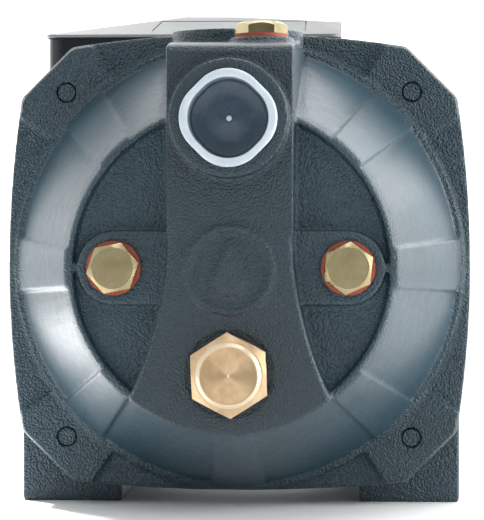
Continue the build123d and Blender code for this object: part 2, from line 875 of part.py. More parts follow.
with BuildPart() as fan_cover_screws:
    for x, z in around(4, 1.0, 0):
        line = Plane(
            origin=(x * cover_radius, face_y - housing_rear + 3.5, shaft_z + z * cover_radius),
            z_dir=(x, 0, z),
        )
        rod(line, 0, 0, 3.4, 2.0)
save(fan_cover_screws, "fan_cover_screws")


# ---------------------------------------------------------------- terminal box

box_inset = 0.8
box_wall = 2.5
box_deck_thick = 3.0
post_radius = 4.5
post_places = [(box_left + 14, -box_rear - 12), (box_right - 14, -box_rear - 12)]
box_screw_places = [(-22.0, 140.0), (18.0, 140.0)]
gland_x = 8.0
gland_z = 188.0


def box_plan(z, inset, radius=8.0):
    """The terminal box's rounded rectangle at this height."""
    width = box_right - box_left - 2 * inset
    depth = box_front - box_rear - 2 * inset
    centre = ((box_left + box_right) / 2, face_y - (box_front + box_rear) / 2, z)
    with BuildSketch(Plane(origin=centre)) as shape:
        RectangleRounded(width, depth, radius - inset / 2)
    return shape.sketch


with BuildPart() as terminal_box_base:
    extrude(box_plan(box_floor, box_inset), amount=box_top - box_floor)
    hollow_inset = box_inset + box_wall
    box_deck_z = box_floor + box_deck_thick
    hollow_depth = box_top - box_deck_z
    extrude(box_plan(box_deck_z, hollow_inset), amount=hollow_depth + 1, mode=Mode.SUBTRACT)
    rod(level(box_floor - shaft_z - 1), wire_x, wire_y, wire_radius, 8, Mode.SUBTRACT)
    for x, y in box_screw_places:
        rod(level(box_floor - shaft_z - 1), x, y, 2.1, 8, Mode.SUBTRACT)
    for x, y in post_places:
        rod(level(box_floor - shaft_z), x, y, post_radius, box_top - box_floor)
        rod(level(box_floor - shaft_z + 4), x, y, 1.6, 40, Mode.SUBTRACT)
    rod(front(box_rear - 1), gland_x, gland_z - shaft_z, 8.1, 8, Mode.SUBTRACT)
save(terminal_box_base, "terminal_box_base")

with BuildPart() as terminal_box_gasket:
    extrude(box_plan(box_top, box_inset + 0.4), amount=lid_seat - box_top)
    extrude(box_plan(box_top - 1, hollow_inset), amount=5, mode=Mode.SUBTRACT)
    for x, y in post_places:
        rod(level(box_top - shaft_z), x, y, post_radius, lid_seat - box_top)
        rod(level(box_top - shaft_z - 1), x, y, 2.0, 5, Mode.SUBTRACT)
save(terminal_box_gasket, "terminal_box_gasket")

crown_front = -115.0
crown_rear = -140.0


def lid_form(lower, inset):
    """The faceted lid's outer form, lowered and drawn in for its hollow."""
    low = lid_seat - lid_lap - shaft_z - lower
    rim_rise = lid_rim - shaft_z - lower
    crown_rise = lid_crown - shaft_z - lower
    with BuildPart() as form:
        side = [
            (box_front - inset, low),
            (box_front - inset, rim_rise),
            (crown_front, crown_rise),
            (crown_rear, crown_rise),
            (box_rear + inset, rim_rise),
            (box_rear + inset, low),
        ]
        extrude(outline(radial_plane, side), amount=200, both=True)
        across = [
            (box_left + inset, low),
            (box_left + inset, rim_rise),
            (-30, crown_rise - 0.2),
            (-6, crown_rise - 0.4),
            (box_right - inset, crown_rise - 3.6),
            (box_right - inset, low),
        ]
        extrude(outline(front(box_rear - 20), across), amount=200, mode=Mode.INTERSECT)
    return form.part


lid_slope = (lid_crown - lid_rim) / (box_front - crown_front)
lid_tilt = sqrt(1 + lid_slope**2)
label_low = 7.0
label_height = 20.0
label_left = -43.5
label_right = 25.5
label_slant = 3.2
label_gap = 0.5


def facet_plane(offset=0.0):
    """The lid's sloping front facet, with its origin on the facet's lower edge."""
    normal = Vector(0, -lid_slope / lid_tilt, 1 / lid_tilt)
    corner = Vector(0, face_y - box_front, lid_rim) + normal * offset
    return Plane(origin=corner, x_dir=(1, 0, 0), z_dir=normal)


def label_outline(plane, grow):
    """The label's four-sided outline, its left end leaning."""
    points = [
        (label_left - grow, label_low - grow),
        (label_right + grow, label_low - grow),
        (label_right + grow, label_low + label_height + grow),
        (label_left + label_slant - grow, label_low + label_height + grow),
    ]
    return outline(plane, points)


lid_outside = lid_form(0.0, 0.0)
lid_inside = lid_form(lid_skin, lid_skin)
with BuildPart() as terminal_box_lid:
    add(lid_outside)
    upright = terminal_box_lid.edges().filter_by(Axis.Z)
    fillet(upright, radius=5.0)
    add(lid_inside, mode=Mode.SUBTRACT)
    extrude(box_plan(lid_seat - 4, box_inset - 0.3), amount=4, mode=Mode.SUBTRACT)
    extrude(label_outline(facet_plane(2), label_gap), amount=-2.9, mode=Mode.SUBTRACT)
    for x, y in post_places:
        rod(level(lid_seat - shaft_z), x, y, post_radius + 1, 3.0)
        rod(level(lid_seat - shaft_z - 2), x, y, 1.9, 30, Mode.SUBTRACT)
        rod(level(lid_seat - shaft_z + 2.5), x, y, 3.8, 30, Mode.SUBTRACT)
save(terminal_box_lid, "terminal_box_lid")

with BuildPart() as label_plate:
    extrude(label_outline(facet_plane(-0.9), 0), amount=0.7)
save(label_plate, "label_plate")

with BuildPart() as lid_screws:
    for x, y in post_places:
        rod(level(box_top - shaft_z - 8), x, y, 1.6, lid_seat - box_top + 10.5)
        rod(level(lid_seat - shaft_z + 2.5), x, y, 3.2, 2.4)
save(lid_screws, "lid_screws")

with BuildPart() as box_screws:
    for x, y in box_screw_places:
        rod(level(box_floor - shaft_z), x, y, 2.1, box_deck_thick)
        rod(level(box_deck_z - shaft_z), x, y, 3.6, 2.4)
save(box_screws, "box_screws")

with BuildPart() as terminal_block:
    slab(level(box_deck_z - shaft_z), 6, 34, 90, 108, 11)
    for post in range(3):
        rod(level(box_deck_z - shaft_z + 11), 11 + 9 * post, 99, 2.6, 3)
save(terminal_block, "terminal_block")

capacitor_x = -46.0
capacitor_z = 192.0
capacitor_radius = 12.0
with BuildPart() as run_capacitor:
    rod(front(-158), capacitor_x, capacitor_z - shaft_z, capacitor_radius, 52)
    chamfer(run_capacitor.edges().filter_by(GeomType.CIRCLE), length=1.0)
    tab_rise = capacitor_z - shaft_z
    for x in (-4, 4):
        tab_x = capacitor_x + x
        slab(front(-106), tab_x - 1.5, tab_x + 1.5, tab_rise - 0.4, tab_rise + 0.4, 6)
save(run_capacitor, "run_capacitor")

clamp_plane = front(-138)
clamp_width = 12.0
clamp_skin = 0.8
box_deck = box_deck_z - shaft_z
with BuildPart() as capacitor_clamp:
    clamp_rise = capacitor_z - shaft_z
    arch = capacitor_radius + clamp_skin
    rod(clamp_plane, capacitor_x, clamp_rise, arch, clamp_width)
    slab(clamp_plane, capacitor_x - arch, capacitor_x + arch, box_deck, clamp_rise, clamp_width)
    rod(clamp_plane, capacitor_x, clamp_rise, capacitor_radius, clamp_width, Mode.SUBTRACT)
    inner_left = capacitor_x - capacitor_radius
    inner_right = capacitor_x + capacitor_radius
    slab(clamp_plane, inner_left, inner_right, box_deck - 1, clamp_rise, clamp_width, Mode.SUBTRACT)
    for low_x, high_x in (
        (capacitor_x - arch - 6, inner_left),
        (inner_right, capacitor_x + arch + 6),
    ):
        slab(clamp_plane, low_x, high_x, box_deck, box_deck + clamp_skin, clamp_width)
save(capacitor_clamp, "capacitor_clamp")

gland_bore = 4.6
with BuildPart() as cable_gland:
    gland_plane = Plane(
        origin=(gland_x, face_y - box_rear - box_inset, gland_z), x_dir=(-1, 0, 0), z_dir=(0, 1, 0)
    )
    with BuildSketch(gland_plane):
        RegularPolygon(10.5, 6, major_radius=False)
    extrude(amount=6)
    rod(gland_plane, 0, 0, 8.0, -6)
    rod(gland_plane.offset(6), 0, 0, 7.5, 10)
    rod(gland_plane.offset(-8), 0, 0, gland_bore, 30, Mode.SUBTRACT)
save(cable_gland, "cable_gland")

with BuildPart() as gland_nut:
    hex_head(gland_plane.offset(6.2), 20, 13, 0, 8.5)
    rod(gland_plane.offset(5), 0, 0, 7.6, 11.4, Mode.SUBTRACT)
    rod(gland_plane.offset(5), 0, 0, gland_bore + 0.6, 20, Mode.SUBTRACT)
save(gland_nut, "gland_nut")

with BuildPart() as earth_screw:
    rod(level(box_deck_z - shaft_z), -5, 98, 4.0, 2.0)
    rod(level(box_deck_z - shaft_z + 2), -5, 98, 2.8, 2.2)
save(earth_screw, "earth_screw")
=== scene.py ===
import json
import math

import bmesh
import bpy
import numpy as np
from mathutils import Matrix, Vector


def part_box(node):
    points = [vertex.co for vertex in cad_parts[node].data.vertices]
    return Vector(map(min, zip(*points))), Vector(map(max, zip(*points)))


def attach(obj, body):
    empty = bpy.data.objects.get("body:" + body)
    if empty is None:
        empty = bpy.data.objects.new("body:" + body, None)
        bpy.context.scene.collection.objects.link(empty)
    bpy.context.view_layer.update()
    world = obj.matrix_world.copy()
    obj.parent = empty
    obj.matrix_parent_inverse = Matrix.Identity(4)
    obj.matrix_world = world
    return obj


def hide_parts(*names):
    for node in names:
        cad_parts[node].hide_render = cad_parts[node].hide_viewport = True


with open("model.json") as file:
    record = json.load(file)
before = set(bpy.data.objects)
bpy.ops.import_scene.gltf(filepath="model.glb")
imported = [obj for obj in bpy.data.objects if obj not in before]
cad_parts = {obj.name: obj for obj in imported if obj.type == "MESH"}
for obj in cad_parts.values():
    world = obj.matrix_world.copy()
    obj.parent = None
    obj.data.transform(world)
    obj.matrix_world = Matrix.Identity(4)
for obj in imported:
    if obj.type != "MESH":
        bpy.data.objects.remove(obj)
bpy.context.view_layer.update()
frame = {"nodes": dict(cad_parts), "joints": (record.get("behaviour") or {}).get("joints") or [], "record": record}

MM = 0.001
nodes = frame["nodes"]
joints = {joint["name"]: joint for joint in frame["joints"]}
node_slot = {part["node"]: part["material_slot"] for part in frame["record"]["subparts"]}
body_of_node = {
    node: body
    for body, members in frame["record"]["behaviour"]["bodies"].items()
    for node in members
}
shaft = Vector(joints["shaft_spin"]["pos_m"])
collection = bpy.context.scene.collection


# ------------------------------------------------------------------ materials

class Finish:
    """A node material built round one Principled shader, in the row's own coordinates."""

    def __init__(self, name, **sockets):
        self.material = bpy.data.materials.new(name)
        self.material.use_nodes = True
        self.tree = self.material.node_tree
        self.shader = self.tree.nodes["Principled BSDF"]
        self.place = self.add("ShaderNodeTexCoord").outputs["Object"]
        for socket, value in sockets.items():
            self.link(self.shader, socket.replace("_", " "), value)

    def add(self, kind, inputs=None, **settings):
        node = self.tree.nodes.new(kind)
        for key, value in settings.items():
            setattr(node, key, value)
        for socket, value in (inputs or {}).items():
            self.link(node, socket, value)
        return node

    def link(self, node, socket, value):
        target = node.inputs[socket]
        if isinstance(value, bpy.types.NodeSocket):
            self.tree.links.new(value, target)
        else:
            target.default_value = value

    def math(self, operation, first, second=0.5):
        node = self.add("ShaderNodeMath", {0: first, 1: second}, operation=operation)
        return node.outputs[0]

    def stretched(self, factors):
        """The row's coordinates scaled along each axis."""
        node = self.add("ShaderNodeMapping", {"Vector": self.place, "Scale": factors})
        return node.outputs[0]

    def noise(self, scale, detail=2.0, roughness=0.5, place=None):
        inputs = {
            "Vector": place or self.place,
            "Scale": scale,
            "Detail": detail,
            "Roughness": roughness,
        }
        return self.add("ShaderNodeTexNoise", inputs).outputs[0]

    def cells(self, scale, feature="F1", place=None):
        inputs = {"Vector": place or self.place, "Scale": scale}
        return self.add("ShaderNodeTexVoronoi", inputs, feature=feature).outputs["Distance"]

    def remap(self, value, low, high, new_low, new_high):
        inputs = {0: value, 1: low, 2: high, 3: new_low, 4: new_high}
        return self.add("ShaderNodeMapRange", inputs).outputs[0]

    def blend(self, share, first, second):
        inputs = {0: share, 6: first, 7: second}
        node = self.add("ShaderNodeMix", inputs, data_type="RGBA")
        return node.outputs[2]

    def attribute(self, name):
        return self.add("ShaderNodeAttribute", attribute_name=name).outputs["Fac"]

    def bump(self, height, strength, distance, normal=None):
        inputs = {"Height": height, "Strength": strength, "Distance": distance}
        if normal is not None:
            inputs["Normal"] = normal
        return self.add("ShaderNodeBump", inputs).outputs[0]

    def normal(self, value):
        self.link(self.shader, "Normal", value)

    def colour(self, value):
        self.link(self.shader, "Base Color", value)

    def roughness(self, value):
        self.link(self.shader, "Roughness", value)


def rgb(red, green, blue):
    return (red, green, blue, 1.0)


def around_axis(finish, origin, axis):
    """Distance from a line, in metres, as a node value."""
    shifted = finish.add(
        "ShaderNodeVectorMath", {0: finish.place, 1: origin}, operation="SUBTRACT"
    ).outputs[0]
    crossed = finish.add(
        "ShaderNodeVectorMath", {0: shifted, 1: axis}, operation="CROSS_PRODUCT"
    ).outputs[0]
    length = finish.add("ShaderNodeVectorMath", {0: crossed}, operation="LENGTH")
    return length.outputs["Value"]


PAINT_DARK = rgb(0.0135, 0.0420, 0.0600)
PAINT_PALE = rgb(0.0210, 0.0570, 0.0800)
# The next colour is painted shade: a darker tone laid on the spine and port boss in place of their shade.
SPINE_PAINTED_SHADE = rgb(0.0060, 0.0270, 0.0420)
PEBBLES_PER_METRE = 1250.0
PEBBLE_WANDER = 0.0006
PEBBLE_HEIGHT = 0.0011


def cast_paint(name, with_grain_and_painted_shade):
    """Semi-gloss slate paint over sand-cast iron, pebbled where the mould was coarse, and with painted shade on
    the spine and port boss when the grain is on.
    """
    paint = Finish(name, Specular_IOR_Level=0.55, Coat_Weight=0.25, Coat_Roughness=0.22)
    grain = paint.attribute("grain") if with_grain_and_painted_shade else 1.0
    tone = paint.noise(38.0, 5.0, 0.6)
    colour = paint.blend(paint.remap(tone, 0.35, 0.65, 0.0, 1.0), PAINT_DARK, PAINT_PALE)
    if with_grain_and_painted_shade:
        # Painted shade: the spine and port boss are darkened where the front attribute is set.
        colour = paint.blend(paint.attribute("front"), colour, SPINE_PAINTED_SHADE)
    paint.colour(colour)
    wander = paint.add("ShaderNodeTexNoise", {"Vector": paint.place, "Scale": 900.0})
    shifted = paint.add(
        "ShaderNodeVectorMath",
        {0: wander.outputs["Color"], 1: (PEBBLE_WANDER,) * 3, 2: paint.place},
        operation="MULTIPLY_ADD",
    ).outputs[0]
    pebbles = paint.math("MULTIPLY", paint.cells(PEBBLES_PER_METRE, "SMOOTH_F1", shifted), -1.3)
    lumps = paint.noise(1500.0, 1.0, 0.5)
    peel = paint.noise(2300.0, 1.0, 0.5)
    gloss = paint.remap(paint.noise(240.0, 3.0, 0.6), 0.3, 0.7, 0.36, 0.46)
    paint.roughness(gloss)
    height = paint.math("ADD", pebbles, paint.math("MULTIPLY", lumps, 0.7))
    height = paint.math("MULTIPLY", height, grain)
    height = paint.math("ADD", height, paint.math("MULTIPLY", peel, 0.10))
    paint.normal(paint.bump(height, 1.0, PEBBLE_HEIGHT))
    return paint.material


def smooth_paint(name, dark, pale, rough):
    """The same paint sprayed over a smooth metal surface."""
    paint = Finish(name, Specular_IOR_Level=0.5, Coat_Weight=0.2, Coat_Roughness=0.2)
    tone = paint.noise(30.0, 4.0, 0.6)
    paint.colour(paint.blend(tone, dark, pale))
    paint.roughness(paint.remap(paint.noise(300.0, 2.0), 0.3, 0.7, rough - 0.05, rough + 0.07))
    peel = paint.math("ADD", paint.noise(900.0, 2.0), paint.noise(260.0, 1.0))
    paint.normal(paint.bump(peel, 0.25, 0.0003))
    return paint.material


def metal(name, dark, pale, rough, stretch=(1.0, 1.0, 1.0), mark=0.15, metallic=1.0):
    """Worked metal: tone drifts, and fine marks run across its long direction."""
    finish = Finish(name, Metallic=metallic)
    tone = finish.noise(120.0, 4.0, 0.6)
    finish.colour(finish.blend(finish.remap(tone, 0.3, 0.7, 0.0, 1.0), dark, pale))
    marks = finish.noise(900.0, 3.0, 0.6, finish.stretched(stretch))
    finish.roughness(finish.remap(marks, 0.3, 0.7, rough - 0.06, rough + 0.1))
    finish.normal(finish.bump(marks, mark, 0.0002))
    return finish.material


BRASS_DARK = rgb(0.34, 0.29, 0.15)
BRASS_PALE = rgb(0.47, 0.41, 0.25)
BRONZE_DARK = rgb(0.60, 0.40, 0.22)
BRONZE_PALE = rgb(0.84, 0.63, 0.41)
# The next colour is a painted highlight for the large plug's rim ring and centre pip.
RIM_PAINTED_HIGHLIGHT = rgb(1.0, 0.86, 0.66)
# The next colour is a painted reflection: the dark fan across the large plug's face.
FAN_PAINTED_REFLECTION = rgb(0.26, 0.18, 0.09)
PIP_RADIUS = 0.00045
RECESS_RADIUS = 0.01085
RIM_RADIUS = 0.0126
TOOL_PITCH = 0.00042


def turned_brass(name, origin, axis, dark=BRASS_DARK, pale=BRASS_PALE, turned=0.0):
    """Brass with faint tool rings, or a plug's recessed face with a turned sheen, a dark fan as a painted
    reflection, and painted highlights on its rim and centre pip.
    """
    brass = Finish(name, Metallic=1.0, Anisotropic=turned)
    if turned:
        outward = brass.add(
            "ShaderNodeVectorMath", {0: brass.place, 1: origin}, operation="SUBTRACT"
        )
        brass.link(brass.shader, "Tangent", outward.outputs[0])
    radius = around_axis(brass, origin, axis)
    tone = brass.noise(160.0, 5.0, 0.65)
    stain = brass.noise(420.0, 3.0, 0.7)
    base = brass.blend(brass.remap(tone, 0.3, 0.7, 0.0, 1.0), dark, pale)
    spots = brass.remap(stain, 0.62, 0.78, 0.0, 0.18)
    base = brass.blend(spots, base, rgb(0.34, 0.25, 0.13))
    if turned:
        # Painted reflection: the face darkens in two fans out to the sides of the axis, standing in for the
        # reflection of turned brass.
        offset = brass.add("ShaderNodeSeparateXYZ", {0: outward.outputs[0]})
        across = brass.math("POWER", brass.math("DIVIDE", offset.outputs["X"], radius), 2.0)
        painted_reflection_fan = brass.remap(across, 0.45, 1.0, 0.0, 0.60)
        face = brass.blend(painted_reflection_fan, base, FAN_PAINTED_REFLECTION)
        # Painted highlight: the rim ring and the centre pip are blended towards a near-white tone.
        rim = brass.blend(0.75, base, RIM_PAINTED_HIGHLIGHT)
        for tone_inside, edge, soft in (
            (rim, RIM_RADIUS, 0.0002),
            (face, RECESS_RADIUS, 0.00015),
            (RIM_PAINTED_HIGHLIGHT, PIP_RADIUS, 0.00015),
        ):
            outside = brass.remap(radius, edge - soft, edge + soft, 0.0, 1.0)
            base = brass.blend(outside, tone_inside, base)
    brass.colour(base)
    scratches = brass.noise(1400.0, 2.0, 0.7, brass.stretched((1.0, 0.25, 1.0)))
    smooth = 0.32 if turned else 0.13
    worn = brass.math("ADD", tone, scratches)
    brass.roughness(brass.remap(worn, 0.7, 1.3, smooth, smooth + 0.1))
    if not turned:
        drift = brass.math("MULTIPLY", brass.noise(200.0, 1.0), 0.0006)
        reach = brass.math("ADD", radius, drift)
        swirl = brass.math("MULTIPLY", reach, 2 * math.pi / TOOL_PITCH)
        grooves = brass.math("MULTIPLY", brass.math("SINE", swirl, 0.0), 0.20)
        height = brass.math("ADD", grooves, brass.math("MULTIPLY", scratches, 0.12))
        brass.normal(brass.bump(height, 0.08, 0.0002))
    return brass.material


def moulded(name, dark, pale, rough, speckle=0.12, scale=700.0, **sockets):
    """Moulded plastic or rubber with a fine spark-eroded texture."""
    finish = Finish(name, **sockets)
    tone = finish.noise(55.0, 4.0, 0.6)
    finish.colour(finish.blend(finish.remap(tone, 0.3, 0.7, 0.0, 1.0), dark, pale))
    texture = finish.noise(scale, 3.0, 0.6)
    finish.roughness(finish.remap(texture, 0.3, 0.7, rough - 0.05, rough + 0.06))
    finish.normal(finish.bump(texture, speckle, 0.0002))
    return finish.material


def fibre_red(name):
    """Red vulcanised fibre, slightly mottled and dusty."""
    finish = Finish(name)
    flecks = finish.noise(1300.0, 4.0, 0.7)
    share = finish.remap(flecks, 0.3, 0.7, 0.0, 1.0)
    finish.colour(finish.blend(share, rgb(0.26, 0.04, 0.02), rgb(0.50, 0.11, 0.06)))
    finish.roughness(finish.remap(flecks, 0.3, 0.7, 0.5, 0.7))
    finish.normal(finish.bump(flecks, 0.3, 0.0002))
    return finish.material


def milky(name, dark, pale):
    """Thin milky polyethylene with a soft inner glow."""
    finish = Finish(name, IOR=1.50, Subsurface_Weight=0.2)
    finish.link(finish.shader, "Subsurface Radius", (0.6, 0.8, 1.0))
    finish.link(finish.shader, "Subsurface Scale", 0.0015)
    cloud = finish.noise(90.0, 4.0, 0.6)
    finish.colour(finish.blend(finish.remap(cloud, 0.3, 0.7, 0.0, 1.0), dark, pale))
    ripple = finish.noise(260.0, 2.0)
    finish.roughness(finish.remap(ripple, 0.3, 0.7, 0.18, 0.30))
    finish.normal(finish.bump(ripple, 0.2, 0.0003))
    return finish.material


def laminated(name):
    """Stacked electrical steel: the sheet edges show as fine lines across the shaft."""
    finish = Finish(name, Metallic=0.9)
    across = finish.add("ShaderNodeSeparateXYZ", {0: finish.place}).outputs["Y"]
    sheets = finish.math("SINE", finish.math("MULTIPLY", across, 2 * math.pi / 0.001), 0.0)
    tone = finish.noise(90.0, 4.0, 0.6)
    finish.colour(finish.blend(tone, rgb(0.16, 0.16, 0.17), rgb(0.34, 0.33, 0.32)))
    finish.roughness(finish.remap(tone, 0.3, 0.7, 0.38, 0.55))
    finish.normal(finish.bump(sheets, 0.35, 0.0003))
    return finish.material


def wound_copper(name):
    """Varnished copper wire laid in turns."""
    finish = Finish(name, Metallic=0.85)
    radius = around_axis(finish, shaft, (0.0, 1.0, 0.0))
    along = finish.add("ShaderNodeSeparateXYZ", {0: finish.place}).outputs["Y"]
    layers = finish.math("MULTIPLY", radius, 5200.0)
    turns = finish.math("ADD", layers, finish.math("MULTIPLY", along, 2600.0))
    turns = finish.math("ADD", turns, finish.math("MULTIPLY", finish.noise(60.0), 9.0))
    wires = finish.math("SINE", turns, 0.0)
    tone = finish.noise(80.0, 4.0)
    finish.colour(finish.blend(tone, rgb(0.42, 0.14, 0.05), rgb(0.72, 0.33, 0.14)))
    finish.roughness(finish.remap(wires, -1.0, 1.0, 0.42, 0.28))
    finish.normal(finish.bump(wires, 0.5, 0.0004))
    return finish.material


finishes = {
    "cast_paint": cast_paint("cast_paint", False),
    "motor_paint": smooth_paint("motor_paint", PAINT_DARK, PAINT_PALE, 0.40),
    "cover_paint": smooth_paint("cover_paint", rgb(0.022, 0.034, 0.043), PAINT_PALE, 0.33),
    "fan_plastic": moulded(
        "fan_plastic", rgb(0.012, 0.012, 0.013), rgb(0.025, 0.025, 0.026), 0.45
    ),
    "rubber": moulded("rubber", rgb(0.008, 0.008, 0.009), rgb(0.018, 0.018, 0.018), 0.62, 0.25),
    "cap_plastic": milky("cap_plastic", rgb(0.50, 0.59, 0.66), rgb(0.64, 0.72, 0.78)),
    "fibre": fibre_red("fibre"),
    "noryl": moulded("noryl", rgb(0.020, 0.021, 0.023), rgb(0.040, 0.041, 0.043), 0.42),
    "stainless": metal("stainless", rgb(0.42, 0.41, 0.40), rgb(0.62, 0.61, 0.59), 0.28, (1, 9, 1)),
    "steel": metal("steel", rgb(0.36, 0.36, 0.37), rgb(0.60, 0.60, 0.60), 0.20, (1, 9, 1), 0.08),
    "zinc_steel": metal("zinc_steel", rgb(0.40, 0.40, 0.37), rgb(0.66, 0.66, 0.63), 0.34),
    "cage_plastic": moulded("cage_plastic", rgb(0.46, 0.43, 0.33), rgb(0.56, 0.53, 0.42), 0.48),
    "ceramic": moulded("ceramic", rgb(0.70, 0.68, 0.61), rgb(0.80, 0.78, 0.72), 0.18, 0.04),
    "carbon": moulded("carbon", rgb(0.015, 0.015, 0.016), rgb(0.04, 0.04, 0.04), 0.36),
    "lamination": laminated("lamination"),
    "copper": wound_copper("copper"),
    "aluminium": metal("aluminium", rgb(0.50, 0.50, 0.51), rgb(0.70, 0.70, 0.71), 0.42, mark=0.4),
    "box_plastic": moulded(
        "box_plastic", rgb(0.008, 0.011, 0.014), rgb(0.014, 0.018, 0.022), 0.14, 0.03
    ),
    "lid_grey": moulded(
        "lid_grey", rgb(0.21, 0.215, 0.22), rgb(0.26, 0.265, 0.27), 0.46, 0.10, 1500.0
    ),
    "label_white": moulded(
        "label_white",
        rgb(0.24, 0.26, 0.26),
        rgb(0.30, 0.32, 0.31),
        0.50,
        0.03,
        Specular_IOR_Level=0.2,
    ),
    "block_plastic": moulded("block_plastic", rgb(0.52, 0.50, 0.42), rgb(0.62, 0.60, 0.52), 0.40),
    "capacitor_plastic": moulded(
        "capacitor_plastic", rgb(0.55, 0.55, 0.53), rgb(0.64, 0.64, 0.62), 0.34
    ),
}
finishes["brass"] = turned_brass("brass", shaft, (0.0, 1.0, 0.0))

for name, node in nodes.items():
    node.data.materials.clear()
    node.data.materials.append(finishes[node_slot[name]])


# ------------------------------------------------------------------ mesh helpers

def settle(obj):
    """Apply every modifier, so the piece holds its final mesh."""
    graph = bpy.context.evaluated_depsgraph_get()
    mesh = bpy.data.meshes.new_from_object(obj.evaluated_get(graph))
    obj.modifiers.clear()
    old = obj.data
    obj.data = mesh
    bpy.data.meshes.remove(old)
    return obj


def place(obj, node, finish=None, body=None, *also):
    """Give a piece its finish and its body, and let it stand for its CAD node."""
    obj.data.materials.clear()
    obj.data.materials.append(finish or finishes[node_slot[node]])
    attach(obj, body or body_of_node[node])
    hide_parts(node, *also)
    return obj


def copy_of(node, name):
    """A new object with its own copy of a CAD node's mesh, welded and with flats merged."""
    mesh = nodes[node].data.copy()
    work = bmesh.new()
    work.from_mesh(mesh)
    bmesh.ops.remove_doubles(work, verts=work.verts, dist=1e-6)
    flat = math.radians(1.0)
    bmesh.ops.dissolve_limit(work, angle_limit=flat, verts=work.verts, edges=work.edges)
    work.to_mesh(mesh)
    work.free()
    if hasattr(mesh, "free_normals_split"):
        mesh.free_normals_split()
    obj = bpy.data.objects.new(name, mesh)
    collection.objects.link(obj)
    return obj


def softened(node, name, width, segments=2, angle=28.0):
    """A copy of a CAD node whose sharp edges carry a small rounded bevel."""
    return bevelled(copy_of(node, name), width, segments, angle)


def bevelled(obj, width, segments, angle):
    """Round the sharp edges of a mesh, and keep its flats looking flat."""
    bevel = obj.modifiers.new("edges", "BEVEL")
    bevel.width = width
    bevel.segments = segments
    bevel.limit_method = "ANGLE"
    bevel.angle_limit = math.radians(angle)
    bevel.use_clamp_overlap = True
    obj.data.shade_smooth()
    flats = obj.modifiers.new("flats", "WEIGHTED_NORMAL")
    flats.mode = "FACE_AREA"
    flats.weight = 100
    settle(obj)
    return obj


def cast_skin(node, name, voxel, passes, faces):
    """A copy of a cast CAD node with the soft edges and fillets of a sand casting."""
    obj = copy_of(node, name)
    remesh = obj.modifiers.new("skin", "REMESH")
    remesh.mode = "VOXEL"
    remesh.voxel_size = voxel * 1.0
    smooth = obj.modifiers.new("soften", "SMOOTH")
    smooth.factor = 0.5
    smooth.iterations = passes
    settle(obj)
    triangles = sum(len(face.vertices) - 2 for face in obj.data.polygons)
    share = faces / triangles
    if share < 1.0:
        thin = obj.modifiers.new("thin", "DECIMATE")
        thin.ratio = share
        settle(obj)
    obj.data.shade_smooth()
    return obj


# ------------------------------------------------------------------ castings

def points_of(obj):
    """The mesh's points as rows of three numbers."""
    flat = np.empty(len(obj.data.vertices) * 3, np.float32)
    obj.data.vertices.foreach_get("co", flat)
    return flat.reshape(-1, 3)


def step(low, high, value):
    """A smooth rise from 0 at low to 1 at high."""
    share = np.clip((value - low) / (high - low), 0.0, 1.0)
    return share * share * (3.0 - 2.0 * share)


# Where each surface of the casing begins and is complete, in metres from the shaft's line,
# from the pump's middle plane, above the base or ahead of the shaft joint's place.
RING_INNER = (0.0645, 0.066)
RING_OUTER = (0.0895, 0.0915)
RING_FOOT = (0.013, 0.016)
BLOCK_HALF = (0.0275, 0.029)
BLOCK_LOW = (0.150, 0.155)
DISC_AHEAD = (0.070, 0.078)
# SPINE_AHEAD bounds where the spine and port boss get painted shade.
SPINE_AHEAD = (0.086, 0.090)


def grain_and_painted_shade_of_casing(obj):
    """Mark how coarse the casting is at each point, and where the spine and port boss get painted shade."""
    at = points_of(obj)
    radius = np.hypot(at[:, 0], at[:, 2] - shaft.z)
    ahead = shaft.y - at[:, 1]
    on_ring = step(*RING_INNER, radius) * (1.0 - step(*RING_OUTER, radius))
    on_ring *= step(*RING_FOOT, ahead)
    on_block = (1.0 - step(*BLOCK_HALF, np.abs(at[:, 0]))) * step(*BLOCK_LOW, at[:, 2])
    on_ring *= 1.0 - on_block
    on_front = step(*DISC_AHEAD, ahead)
    grain = (1.0 - 0.45 * on_front) * (1.0 - 0.93 * on_ring)
    # front marks the painted shade on the spine and port boss, not a colour of the paint itself.
    front = step(*SPINE_AHEAD, ahead) * (1.0 - on_ring)
    for name, values in (("grain", grain), ("front", front)):
        layer = obj.data.attributes.new(name, "FLOAT", "POINT")
        layer.data.foreach_set("value", values.astype(np.float32))


grained_paint = cast_paint("casing_paint_with_painted_shade", True)
casing = cast_skin("pump_casing", "casing_body", 0.8 * MM, 2, 198000)
grain_and_painted_shade_of_casing(casing)
place(casing, "pump_casing", grained_paint)

bracket = cast_skin("motor_bracket", "bracket_casting", 1.0 * MM, 4, 160000)
place(bracket, "motor_bracket")


# ------------------------------------------------------------------ turned and moulded pieces

def lathe_loft(name, rings, finish_of_band=None, finishes_used=()):
    """A skin through rings of points; a ring of one point closes an end."""
    work = bmesh.new()
    rows = [[work.verts.new(point) for point in ring] for ring in rings]
    for band, (first, second) in enumerate(zip(rows, rows[1:])):
        count = max(len(first), len(second))
        for index in range(count):
            after = (index + 1) % count
            corners = []
            for row, spots in ((first, (index, after)), (second, (after, index))):
                if len(row) == 1:
                    corners.append(row[0])
                else:
                    corners.extend(row[spot] for spot in spots)
            face = work.faces.new(corners)
            face.smooth = True
            if finish_of_band:
                face.material_index = finish_of_band(band)
    bmesh.ops.recalc_face_normals(work, faces=work.faces)
    mesh = bpy.data.meshes.new(name)
    work.to_mesh(mesh)
    work.free()
    obj = bpy.data.objects.new(name, mesh)
    collection.objects.link(obj)
    for finish in finishes_used:
        mesh.materials.append(finish)
    return obj


